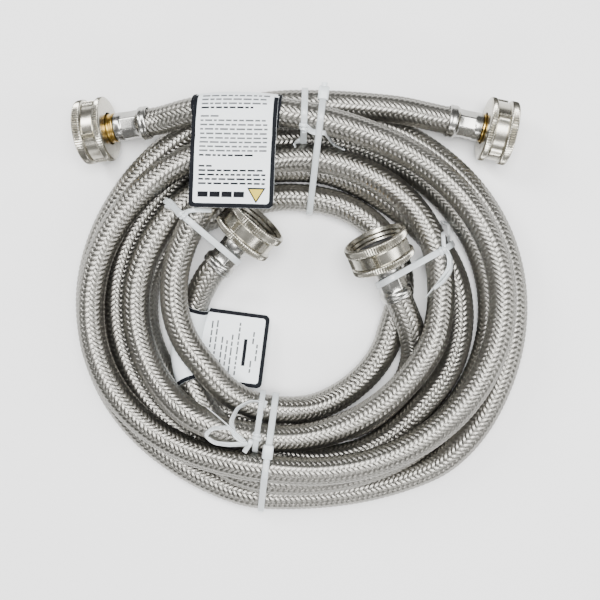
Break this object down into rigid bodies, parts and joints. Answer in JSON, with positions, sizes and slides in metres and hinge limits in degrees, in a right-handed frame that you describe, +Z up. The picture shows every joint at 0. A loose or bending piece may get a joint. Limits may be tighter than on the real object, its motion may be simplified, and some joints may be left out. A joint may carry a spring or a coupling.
{
  "type": "braided supply line",
  "caption": "Braided stainless steel washing machine supply hoses with swivel nuts, coiled and bound with plastic ties, with fold-over labels.",
  "frame": {"origin": "on the surface the coil lies on, under the middle of the bounding box", "axes": "+Z up out of the coil's plane, +X toward the right hand end of the top hose, +Y toward the two outer nuts"},
  "size_m": [0.218, 0.2062, 0.0473],
  "materials": {
    "braid": "woven fine stainless wire, bright with dark gaps between the wires",
    "inner_tube": "grey reinforced vinyl",
    "ferrule": "bright pressed stainless steel with crimp facets",
    "stem": "bare turned brass",
    "washer": "matt black rubber",
    "nut": "satin nickel plating, knurled edges",
    "cable_tie": "natural nylon, milky and translucent",
    "strip_tie": "thin clear plastic strip, milky and translucent",
    "label": "white vinyl with a black border"
  },
  "bodies": {
    "coil": {"outer_hose_braid": "braid", "outer_hose_inner_tube": "inner_tube", "inner_hose_braid": "braid", "inner_hose_inner_tube": "inner_tube", "outer_start_ferrule": "ferrule", "outer_start_stem": "stem", "outer_end_ferrule": "ferrule", "outer_end_stem": "stem", "inner_start_ferrule": "ferrule", "inner_start_stem": "stem", "inner_end_ferrule": "ferrule", "inner_end_stem": "stem", "top_cable_tie": "cable_tie", "bottom_cable_tie": "cable_tie", "top_strip_tie": "strip_tie", "bottom_strip_tie": "strip_tie", "right_strip_tie": "strip_tie", "left_strip_tie": "strip_tie", "caution_label": "label", "maker_label": "label"},
    "outer_start_washer_body": {"outer_start_washer": "washer"},
    "outer_start_nut_body": {"outer_start_nut": "nut"},
    "outer_end_washer_body": {"outer_end_washer": "washer"},
    "outer_end_nut_body": {"outer_end_nut": "nut"},
    "inner_start_washer_body": {"inner_start_washer": "washer"},
    "inner_start_nut_body": {"inner_start_nut": "nut"},
    "inner_end_washer_body": {"inner_end_washer": "washer"},
    "inner_end_nut_body": {"inner_end_nut": "nut"}
  },
  "joints": [
    {"name": "outer_start_nut_float", "type": "slide", "parent": "coil", "child": "outer_start_washer_body", "axis": [-0.9776, -0.1214, -0.172], "range_m": [-0.0021, 0]},
    {"name": "outer_start_nut_turn", "type": "hinge", "parent": "outer_start_washer_body", "child": "outer_start_nut_body", "pos_m": [-0.10471, 0.08174, 0.01562], "axis": [-0.9776, -0.1214, -0.172], "continuous": true},
    {"name": "outer_end_nut_float", "type": "slide", "parent": "coil", "child": "outer_end_washer_body", "axis": [0.979, -0.1998, -0.04], "range_m": [0, 0.0021]},
    {"name": "outer_end_nut_turn", "type": "hinge", "parent": "outer_end_washer_body", "child": "outer_end_nut_body", "pos_m": [0.10249, 0.08114, 0.01572], "axis": [0.979, -0.1998, -0.04], "continuous": true},
    {"name": "inner_start_nut_float", "type": "slide", "parent": "coil", "child": "inner_start_washer_body", "axis": [-0.3914, 0.873, 0.291], "range_m": [0, 0.0021]},
    {"name": "inner_start_nut_turn", "type": "hinge", "parent": "inner_start_washer_body", "child": "inner_start_nut_body", "pos_m": [0.03479, 0.03015, 0.03242], "axis": [-0.3914, 0.873, 0.291], "continuous": true},
    {"name": "inner_end_nut_float", "type": "slide", "parent": "coil", "child": "inner_end_washer_body", "axis": [0.6588, 0.7142, 0.2364], "range_m": [0, 0.0021]},
    {"name": "inner_end_nut_turn", "type": "hinge", "parent": "inner_end_washer_body", "child": "inner_end_nut_body", "pos_m": [-0.01891, 0.03945, 0.02762], "axis": [0.6588, 0.7142, 0.2364], "continuous": true}
  ]
}
